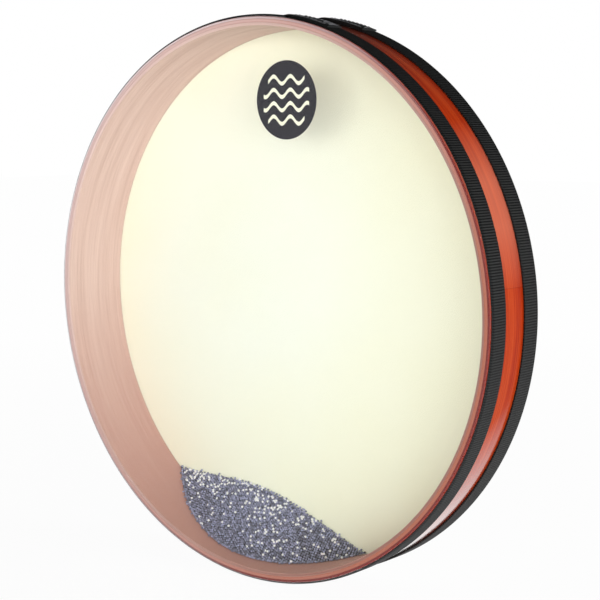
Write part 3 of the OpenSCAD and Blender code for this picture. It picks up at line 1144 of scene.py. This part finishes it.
@dataclass
class Head:
    """A film head: a flat disc, a rounded shoulder over the rim and a skirt down the shell."""

    shell: Shell
    side: Side
    film_t: float = 0.25 * MM
    film_glue: float = 0.05 * MM
    skirt_l: float = 15 * MM
    ring_shares: tuple[float, ...] = (0.0, 0.2, 0.4, 0.6, 0.8, 0.95)

    def section(self) -> list[tuple]:
        """The film's section, from the middle over the rim to the skirt's hem and back inside."""
        shell = self.shell
        shoulder_r = shell.rim_round + self.film_glue
        centre = (shell.outer.outer_r - shell.rim_round, shell.half_depth - shell.rim_round)
        skirt_r = shell.outer.outer_r + self.film_glue
        hem_y = shell.half_depth - self.skirt_l
        face_y = shell.half_depth + self.film_glue
        flat = [share * centre[0] for share in self.ring_shares]
        outside = [(r, face_y + self.film_t) for r in flat]
        outside += arc(centre, shoulder_r + self.film_t, 90, 0, shell.round_steps)
        inside = [(skirt_r + self.film_t, hem_y), (skirt_r, hem_y)]
        inside += arc(centre, shoulder_r, 0, 90, shell.round_steps)
        inside += [(r, face_y) for r in reversed(flat)]
        return [(r, -self.side.value * y) for r, y in outside + inside]

    def build(self, finish: Material, slot: str) -> None:
        """Builds the head in its film."""
        piece = self.shell.turned(self.side.word + "_film", self.section(), finish)
        self.shell.shop.hand_over(piece, "drum", slot, self.side.word + "_head")


@dataclass
class Band:
    """A webbing band, glued round the shell with its outer end lapped and sewn over its inner end.

    Its edges fall by front_drop and rear_drop, and its front edge can be set back by front_inset.
    """

    shell: Shell
    side: Side
    tape: Ring
    front_inset: float = 0.0
    front_drop: float = 0.2 * MM
    rear_drop: float = 0.2 * MM
    webbing_t: float = 1.6 * MM
    lap_glue: float = 0.1 * MM
    lap_l: float = 45 * MM
    climb_l: float = 9 * MM
    end_gap: float = 0.6 * MM
    lap_end_a: float = 70.0
    rib_pitch: float = 2.3 * MM
    rib_depth: float = 0.45 * MM
    steps_per_rib: int = 4
    selvedge_w: float = 1.7 * MM
    edge_round: float = 0.2 * MM
    face_steps: int = 22
    crease: float = math.radians(70)

    @property
    def lap_r(self) -> float:
        """Radius of the inner face of the lapped layer."""
        return self.tape.inner_r + self.webbing_t + self.lap_glue

    @property
    def lap_deg(self) -> float:
        """Angle that the lap covers."""
        return math.degrees(self.lap_l / self.lap_r)

    def path(self) -> tuple[np.ndarray, np.ndarray]:
        """The middle of the webbing from its outer end to its inner end.

        Returns:
            The points, and how far along the webbing each lies.
        """
        inner_r = self.tape.inner_r
        climb_a = self.lap_end_a + self.lap_deg
        climb_deg = math.degrees(self.climb_l / self.lap_r)
        end_a = climb_a + 360 - math.degrees(self.end_gap / inner_r)
        length = math.radians(end_a - self.lap_end_a) * inner_r
        count = round(length / self.rib_pitch * self.steps_per_rib)
        angles = np.linspace(self.lap_end_a, end_a, count + 1)
        drop = (self.lap_r - inner_r) * eased((angles - climb_a) / climb_deg)
        points = around(self.lap_r - drop + self.webbing_t / 2, np.radians(angles))
        steps = np.linalg.norm(np.diff(points, axis=0), axis=1)
        return points, np.concatenate([[0.0], np.cumsum(steps)])

    def section(self) -> tuple[list[tuple], list[float], list[float]]:
        """The webbing's section.

        Returns:
            Its points, how far its ribs show at each, and how far across the band each lies.
        """
        half_t, c = self.webbing_t / 2, self.edge_round
        front, rear = c + self.front_inset - self.tape.width / 2, self.tape.width / 2 - c
        across = np.linspace(front, rear, self.face_steps + 1)
        from_front = eased((across - front) / self.selvedge_w)
        from_rear = eased((rear - across) / self.selvedge_w)
        face = half_t - self.front_drop * (1 - from_front) - self.rear_drop * (1 - from_rear)
        ring = arc((face[-1] - c, rear), c, 60, 90, 1) + arc((c - half_t, rear), c, 90, 180, 2)
        ring += arc((c - half_t, front), c, 180, 270, 2) + arc((face[0] - c, front), c, 270, 300, 1)
        crown = list(from_front * from_rear) + [0.0] * len(ring)
        flat = list(zip(face, across)) + ring
        return [(x, self.tape.mid_y + y, 0.0) for x, y in flat], crown, [y for _, y in flat]

    def build(self, finish: Material) -> None:
        """Builds the band."""
        shop, name = self.shell.shop, self.side.word + "_band"
        points, along = self.path()
        flat, crown, across = self.section()
        path = shop.line(name + "_path", points, closed=False, along=along)
        outline = shop.line(name + "_section", flat, closed=True, crown=crown, across=across)
        piece = shop.sweep(
            name, path, outline, Rib_pitch=self.rib_pitch, Rib_depth=self.rib_depth, Seam_radius=1.0,
            Crease=self.crease, Weld=self.shell.weld, Material=finish,
        )
        shop.hand_over(piece, "drum", "webbing", self.side.word + "_webbing")


@dataclass
class LapStitches:
    """The box of stitches that holds a band's lap, and the loose end of its thread.

    The loose end is given by its bends: how far each lies along the lap from its end and across it.
    """

    band: Band
    loose_end: tuple[tuple[float, float], ...] = ()
    thread_d: float = 0.7 * MM
    stitch_room: float = 3.2 * MM
    stitch_l: float = 3.9 * MM
    stitch_pitch: float = 4.6 * MM
    stitch_inset: float = 3 * MM
    sink: float = 0.1 * MM
    arch: float = 0.75 * MM
    wander: float = math.radians(7)
    seed: int = 11

    @property
    def thread_r(self) -> float:
        """Radius at which the thread lies on the lap."""
        return self.band.lap_r + self.band.webbing_t + self.thread_d / 2 - self.sink

    def rows(self) -> list[tuple[float, float, bool]]:
        """Where each stitch lies along and across the lap, and whether it crosses it."""
        long_l = self.band.lap_l - 2 * self.stitch_inset
        cross_w = self.band.tape.width - 2 * self.stitch_inset
        long_n = int((long_l - self.stitch_room) / self.stitch_pitch) + 1
        cross_n = int((cross_w - self.stitch_room - self.stitch_pitch) / self.stitch_pitch) + 1
        places = []
        for side in (-1, 1):
            for i in range(long_n):
                places.append(((i - (long_n - 1) / 2) * self.stitch_pitch, side * cross_w / 2, False))
            for i in range(cross_n):
                places.append((side * long_l / 2, (i - (cross_n - 1) / 2) * self.stitch_pitch, True))
        return places

    def build(self, finish: Material) -> None:
        """Sews the lap, and lets the thread's end curl over it where it has one."""
        band, shop = self.band, self.band.shell.shop
        mid_a = math.radians(band.lap_end_a + band.lap_deg / 2)
        points, turns = [], []
        for along, across, crossing in self.rows():
            angle = mid_a + along / self.thread_r
            outward = Vector((math.cos(angle), math.sin(angle), 0))
            tangent = Vector((0, 0, 1)) if crossing else Vector((-math.sin(angle), math.cos(angle), 0))
            points.append(outward * self.thread_r - Vector((0, 0, band.tape.mid_y + across)))
            facing = Matrix((tangent, outward.cross(tangent), outward)).transposed()
            turns.append(facing.to_euler())
        seeds = shop.mesh_object(band.side.word + "_stitch_places", points)
        marks = seeds.data.attributes.new("turn", "FLOAT_VECTOR", "POINT")
        marks.data.foreach_set("vector", np.array(turns).ravel())
        piece = shop.grow(
            band.side.word + "_stitches", seeds, StitchTree, Length=self.stitch_l,
            Thickness=self.thread_d, Arch=self.arch, Wander=self.wander, Seed=self.seed, Material=finish,
        )
        piece.data.shade_smooth()
        shop.hand_over(piece, "drum", "thread", band.side.word + "_lap_stitches")
        if self.loose_end:
            self._leave_end(finish)

    def _leave_end(self, finish: Material) -> None:
        """Lets the thread's end curl over the lap."""
        band, shop = self.band, self.band.shell.shop
        along, across = np.array(self.loose_end).T
        points = around(self.thread_r, math.radians(band.lap_end_a) + along / self.thread_r)
        points[:, 2] = -band.tape.mid_y - across
        path = shop.line(band.side.word + "_thread_path", points, closed=False)
        name = band.side.word + "_thread_end"
        piece = shop.grow(name, path, ThreadTree, Thickness=self.thread_d, Material=finish)
        piece.data.shade_smooth()
        shop.hand_over(piece, "drum", "thread")


@dataclass
class Heap:
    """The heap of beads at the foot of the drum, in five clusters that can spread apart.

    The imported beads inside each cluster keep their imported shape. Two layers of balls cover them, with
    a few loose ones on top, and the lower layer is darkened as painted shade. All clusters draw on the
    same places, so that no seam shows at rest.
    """

    shell: Shell
    film_in: float
    bead_d: float = 2.3 * MM
    heap_rise: float = 49.5 * MM
    crest_room: float = 18.2 * MM
    heap_a: float = 259.2
    heap_half_a: float = 29.6
    heap_clear: float = 0.3 * MM
    fullness_share: float = 0.93
    lean_share: float = 0.1
    crown_share: float = 0.06
    least_outline: float = 1e-6
    least_left: float = 0.02
    start_share: float = 0.985
    end_share: float = 1.01
    row_pitch_share: float = 0.9
    bead_pitch_share: float = 1.01
    layer_depth: float = 1.75 * MM
    loose_lift: float = 1.7 * MM
    loose_every: int = 19
    edge_every: int = 5
    edge_w_share: float = 0.02
    # Painted shade: the brightness left to the covered layer of balls.
    covered_painted_shade_light: float = 0.08
    steel_d: float = 2.1 * MM
    white_d: float = 2.6 * MM
    jitter: float = 0.38 * MM
    white_share: float = 0.05
    edge_share: float = 0.17
    left_share: float = 1.3
    left_from: float = -0.5
    crest_w_share: float = 0.08
    seed: int = 5

    def slope_point(self, s: float, t: float, sunk: float) -> tuple[float, float]:
        """A point of the heap's slope, sunk below its free surface.

        Args:
            s: Share of the heap's half arc, from -1 to 1.
            t: Share of the way from the ivory head to the wall.
            sunk: Depth below the free surface.

        Returns:
            Its radius, and its place along the axis towards the clear head.
        """
        outline = max(1 - s * s, self.least_outline) ** self.fullness_share
        rise = self.heap_rise * outline
        reach = (2 * self.film_in - self.crest_room) * outline * (1 + self.lean_share * s)
        left = max(1 - sunk * math.hypot(rise, reach) / (rise * reach), self.least_left)
        crown = self.crown_share * 4 * t * (1 - t) * left
        radius = self.shell.inner.inner_r - self.heap_clear - rise * left * (1 - t) - crown * reach
        return radius, self.heap_clear - self.film_in + reach * left * t + crown * rise

    def chance(self, s: float, t: float) -> float:
        """How likely a ball there is white: most just below the crest, above all at its left end."""
        near = (1 - t) ** 2 * min(t / self.crest_w_share, 1.0)
        return self.white_share + (self.edge_share + self.left_share * max(self.left_from - s, 0)) * near

    def places(self, depth: float, shift: float) -> list[tuple[float, float, float]]:
        """The places of one layer, in rows down the slope.

        Args:
            depth: How deep the balls' middles lie below the free surface.
            shift: How far the rows and the balls in them are shifted, as a share of a pitch.

        Returns:
            The share of the half arc, the share of the way to the wall and the depth of each place.
        """
        mid_r = self.shell.inner.inner_r - self.heap_rise / 2
        row_step = math.degrees(self.row_pitch_share * self.bead_d / mid_r) / self.heap_half_a
        found = []
        for row in range(int((self.start_share + self.end_share) / row_step)):
            s = -self.start_share + (row + shift) * row_step
            (r0, z0), (r1, z1) = self.slope_point(s, 0, depth), self.slope_point(s, 1, depth)
            count = max(round(math.hypot(r1 - r0, z1 - z0) / (self.bead_pitch_share * self.bead_d)), 1)
            offset = (row % 2) / 2 + shift
            found += [(s, min((i + offset % 1) / count, 1.0), depth) for i in range(count + 1)]
        return found

    def seeds(self, name: str) -> Thing:
        """The places of all the heap's balls as loose points, with what the tree reads of each."""
        middle = self.bead_d / 2
        top = self.places(middle, 0.0)
        below = self.places(middle + self.layer_depth, 0.5)
        edges = [place for place in top if not self.edge_w_share < place[1] < 1 - self.edge_w_share]
        proud = top[:: self.loose_every] + edges[:: self.edge_every]
        loose = [(s, t, middle - self.loose_lift) for s, t, _ in proud]
        points, shares, chances, lights = [], [], [], []
        for s, t, depth in top + below + loose:
            radius, z = self.slope_point(s, t, depth)
            angle = math.radians(self.heap_a + self.heap_half_a * s)
            points.append((radius * math.cos(angle), radius * math.sin(angle), z))
            shares.append(s)
            chances.append(0.0 if depth > middle else self.chance(s, t))
            # The covered layer is darkened as painted shade.
            lights.append(self.covered_painted_shade_light if depth > middle else 1.0)
        marks = {"share": shares, "chance": chances, "light": lights, "number": range(len(points))}
        return self.shell.shop.mesh_object(name, points, marks=marks)

    def build(self, steel: Material, white: Material) -> None:
        """Lays the balls of every cluster."""
        margin = self.bead_d / 2 + self.heap_clear
        shop = self.shell.shop
        for cluster in Cluster:
            for is_white, name, slot, finish, diameter in (
                (False, "steel_beads_", "steel_shot", steel, self.steel_d),
                (True, "pale_beads_", "white_beads", white, self.white_d),
            ):
                piece = shop.grow(
                    name + cluster.word, self.seeds(name + "places"), BeadTree, Bead=diameter,
                    First_share=cluster.value[0], Last_share=cluster.value[1], Jitter=self.jitter,
                    White=is_white, Seed=self.seed, Wall_radius=self.shell.inner.inner_r - margin,
                    Head_level=margin - self.film_in, Material=finish,
                )
                replaced = ["white_beads_" + cluster.word] if is_white else []
                shop.hand_over(piece, "beads_" + cluster.word, slot, *replaced)


@dataclass(frozen=True)
class Viewpoint:
    """The camera, placed from the middle of the front rim so that the drum fills the picture."""

    away: Place = (0.85289, -0.94401, 0.15552)
    forward: Place = (-0.63919, 0.75975, -0.11922)
    lens: float = 85.43
    sensor: float = 36.0

    def build(self, shell: Shell) -> None:
        """Sets up the scene's camera."""
        data = bpy.data.cameras.new("camera")
        data.lens = self.lens
        data.sensor_width = self.sensor
        camera = bpy.data.objects.new("camera", data)
        forward = Vector(self.forward).normalized()
        right = forward.cross(Vector((0, 0, 1))).normalized()
        turn = Matrix((right, right.cross(forward), -forward)).transposed().to_4x4()
        place = Vector((0, -shell.half_depth, shell.shop.axis_z)) + Vector(self.away)
        camera.matrix_world = Matrix.Translation(place) @ turn
        bpy.context.scene.collection.objects.link(camera)
        bpy.context.scene.camera = camera


@dataclass(frozen=True)
class Lamp:
    """A soft oblong lamp that looks at a point."""

    name: str
    place: Place
    aim: Place
    width: float
    height: float
    power: float

    def build(self) -> None:
        """Hangs the lamp, which no gloss mirrors."""
        data = bpy.data.lights.new(self.name, "AREA")
        data.shape = "RECTANGLE"
        data.size = self.width
        data.size_y = self.height
        data.energy = self.power
        lamp = bpy.data.objects.new(self.name, data)
        toward = Vector(self.aim) - Vector(self.place)
        turn = toward.to_track_quat("-Z", "Y").to_matrix().to_4x4()
        lamp.matrix_world = Matrix.Translation(self.place) @ turn
        lamp.visible_glossy = False
        bpy.context.scene.collection.objects.link(lamp)


@dataclass
class Studio:
    """A white studio: floor, world and lamps.

    The world gives a soft light that fades from ambient to overhead between two heights. A gloss mirrors
    it white, fading to the ceiling's tone between two others.
    """

    floor_half: float = 9.0
    ambient: float = 0.6
    overhead: float = 0.12
    soft_from: float = -0.05
    soft_to: float = 0.55
    ceiling: float = 0.02
    mirrored_from: float = 0.02
    mirrored_to: float = 0.3
    lamps: tuple[Lamp, ...] = (
        Lamp("side_lamp", (2.6, -1.2, 0.35), (0.0, 0.0, 0.26), width=1.8, height=0.65, power=37.0),
        Lamp("front_lamp", (1.3, -2.6, 0.5), (0.0, 0.0, 0.26), width=2.4, height=0.95, power=49.0),
        Lamp("rim_lamp", (1.1, 0.9, 1.5), (0.1, 0.0, 0.4), width=1.0, height=0.6, power=12.0),
    )

    def _world(self) -> None:
        """Makes the world white where it is seen, and elsewhere a soft light under a dark ceiling."""
        world = bpy.data.worlds.new("studio")
        nodes = Nodes.fresh(world)
        _, _, up = nodes.split(nodes.wire("ShaderNodeTexCoord", output="Generated"))
        fade = nodes.spread(up, self.soft_from, self.soft_to)
        soft = self.ambient + fade * (self.overhead - self.ambient)
        mirrored = 1 + nodes.spread(up, self.mirrored_from, self.mirrored_to) * (self.ceiling - 1)
        seen, glossy = nodes.rays()
        strength = soft + seen * (1 - soft) + glossy * (mirrored - soft)
        light = nodes.wire("ShaderNodeBackground", Color=WHITE, Strength=strength)
        nodes.add("ShaderNodeOutputWorld", {}, {"Surface": light})
        bpy.context.scene.world = world

    def _floor(self, shop: Workshop) -> None:
        """Lays a white floor that keeps the drum's shadow."""
        half = self.floor_half
        corners = [(-half, -half, 0), (half, -half, 0), (half, half, 0), (-half, half, 0)]
        floor = shop.mesh_object("floor", corners, faces=[(0, 1, 2, 3)])
        floor.data.materials.append(FloorWhite("floor_white").material())

    def build(self, shop: Workshop) -> None:
        """Builds the studio round the drum."""
        self._world()
        self._floor(shop)
        for lamp in self.lamps:
            lamp.build()
        bpy.context.scene.view_settings.view_transform = "Standard"


def wood_finishes(shell: Shell) -> list[Wood]:
    """The finishes of the outer, the core and the inner ply."""
    axis_z = shell.shop.axis_z
    stained = Wood(
        "stained_wood", pale=(0.75, 0.29, 0.115), middle=(0.655, 0.195, 0.05), deep=(0.54, 0.11, 0.025),
        # The pale colour past the seam is a painted reflection.
        ply=shell.outer, axis_z=axis_z, painted_reflection=(0.84, 0.52, 0.42), painted_reflection_from=shell.outer_seam_a,
        # The rim's pale and deep tones are a painted highlight and painted shade.
        rim=Rim((0.95, 0.89, 0.89), (0.42, 0.04, 0.02), painted_light_from=-0.4, painted_light_to=1.1, fade=1.6 * MM),
        roughness=0.3, lacquer=1.0,
    )
    core = Wood(
        "core_wood", pale=(0.74, 0.5, 0.4), middle=(0.66, 0.4, 0.31), deep=(0.5, 0.27, 0.22),
        # The rim's pale and deep tones are a painted highlight and painted shade.
        ply=shell.core, axis_z=axis_z, rim=Rim((0.86, 0.75, 0.73), (0.66, 0.38, 0.29)),
    )
    inner = Wood(
        "inner_wood", pale=(0.875, 0.77, 0.73), middle=(0.84, 0.725, 0.685), deep=(0.78, 0.65, 0.605),
        # The rim's pale and deep tones are a painted highlight and painted shade.
        ply=shell.inner, axis_z=axis_z, rim=Rim((0.88, 0.77, 0.74), (0.54, 0.34, 0.28), fade=2 * MM),
        # The foot colour is painted shade on the lower wall.
        roughness=0.5, foot=(0.74, 0.53, 0.48),
    )
    return [stained, core, inner]


def build_heads(shell: Shell) -> float:
    """Builds both heads and dresses the badge.

    Args:
        shell: The shell that the heads are drawn over.

    Returns:
        How far the inner faces of the films lie from the middle of the shell.
    """
    shop = shell.shop
    clear = ClearFilm("clear_film", (0.95, 0.93, 0.9))
    ivory = IvoryFilm(
        # The second tone is painted shade, away from the lit place.
        "ivory_film", pale=(0.965, 0.985, 0.925), painted_shade_warm=(0.955, 0.96, 0.82), fibre=(0.95, 0.95, 0.86),
        axis_z=shop.axis_z,
    )
    front, rear = Head(shell, Side.FRONT), Head(shell, Side.REAR)
    front.build(clear.material(), "clear_film")
    rear.build(ivory.material(), "ivory_film")
    ink = Mottled("badge_ink", (0.07, 0.065, 0.13), (0.04, 0.035, 0.09))
    cream = Mottled("badge_cream", (0.97, 0.97, 0.88), (0.93, 0.93, 0.83))
    shop.dress("head_badge", ink.material())
    shop.dress("badge_waves", cream.material())
    return shell.half_depth + front.film_glue


def build_bands(shell: Shell) -> None:
    """Builds both bands with their sewn laps, and dresses the staples under them.

    The front band's front edge is pressed thin, and the end of its thread has come loose.

    Args:
        shell: The shell that the bands are glued round.
    """
    webbing = Woven("webbing", (0.003, 0.003, 0.004), (0.14, 0.145, 0.145), Band.rib_pitch).material()
    # The thread's light tone is a painted glint on black thread.
    thread = Thread("thread", (0.1, 0.1, 0.11), (0.5, 0.5, 0.52)).material()
    wire = Mottled(
        "staple_wire", first=(0.8, 0.8, 0.82), second=(0.55, 0.55, 0.57), pitch=2 * MM, detail=4.0,
        mottle_rough=0.55, metallic=1.0, roughness=0.28, swing=0.3, gloss=0.5,
    ).material()
    bends = ((3, 3.5), (5.5, 1), (10, -1), (14, 1.5), (13.5, 5.5), (9, 6.5), (5, 4), (1, 6))
    loose_end = tuple((along * MM, across * MM) for along, across in bends)
    for side in Side:
        is_front = side is Side.FRONT
        pressed = {"front_inset": 0.5 * MM, "front_drop": 1.2 * MM} if is_front else {}
        band = Band(shell, side, Ring.of(side.word + "_webbing", shell.shop.axis_z), **pressed)
        band.build(webbing)
        LapStitches(band, loose_end if is_front else ()).build(thread)
        shell.shop.dress(side.word + "_staples", wire)


def build_heap(shell: Shell, film_in: float) -> None:
    """Lays the heap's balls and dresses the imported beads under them.

    Args:
        shell: The shell that the heap lies in.
        film_in: How far the inner faces of the films lie from the middle of the shell.
    """
    heap = Heap(shell, film_in)
    steel = Bead("steel_shot", (0.01, 0.01, 0.02), (0.74, 0.76, 0.9), metallic=0.45, roughness=0.22)
    white = Bead("white_beads", (0.97, 0.985, 0.985), (1.0, 1.0, 1.0), metallic=0.0, roughness=0.25)
    heap.build(steel.material(), white.material())
    # The packed shot is darkened as painted shade under the covering balls.
    packed = PackedShot("packed_shot", (0.04, 0.045, 0.06), (0.3, 0.31, 0.37), heap.bead_d).material()
    for cluster in Cluster:
        shell.shop.dress("shot_" + cluster.word, packed)


def main() -> None:
    """Builds the drum, sub-assembly by sub-assembly, in its studio."""
    logging.basicConfig(level=logging.INFO, format="%(message)s")
    low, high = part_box("shell_outer_ply")
    shop = Workshop((low[2] + high[2]) / 2)
    plies = [Ring.of(f"shell_{ply}_ply", shop.axis_z) for ply in ("outer", "core", "inner")]
    shell = Shell(shop, *plies)
    Viewpoint().build(shell)
    shell.build([finish.material() for finish in wood_finishes(shell)])
    film_in = build_heads(shell)
    build_bands(shell)
    build_heap(shell, film_in)
    Studio().build(shop)


if __name__ == "__main__":
    main()
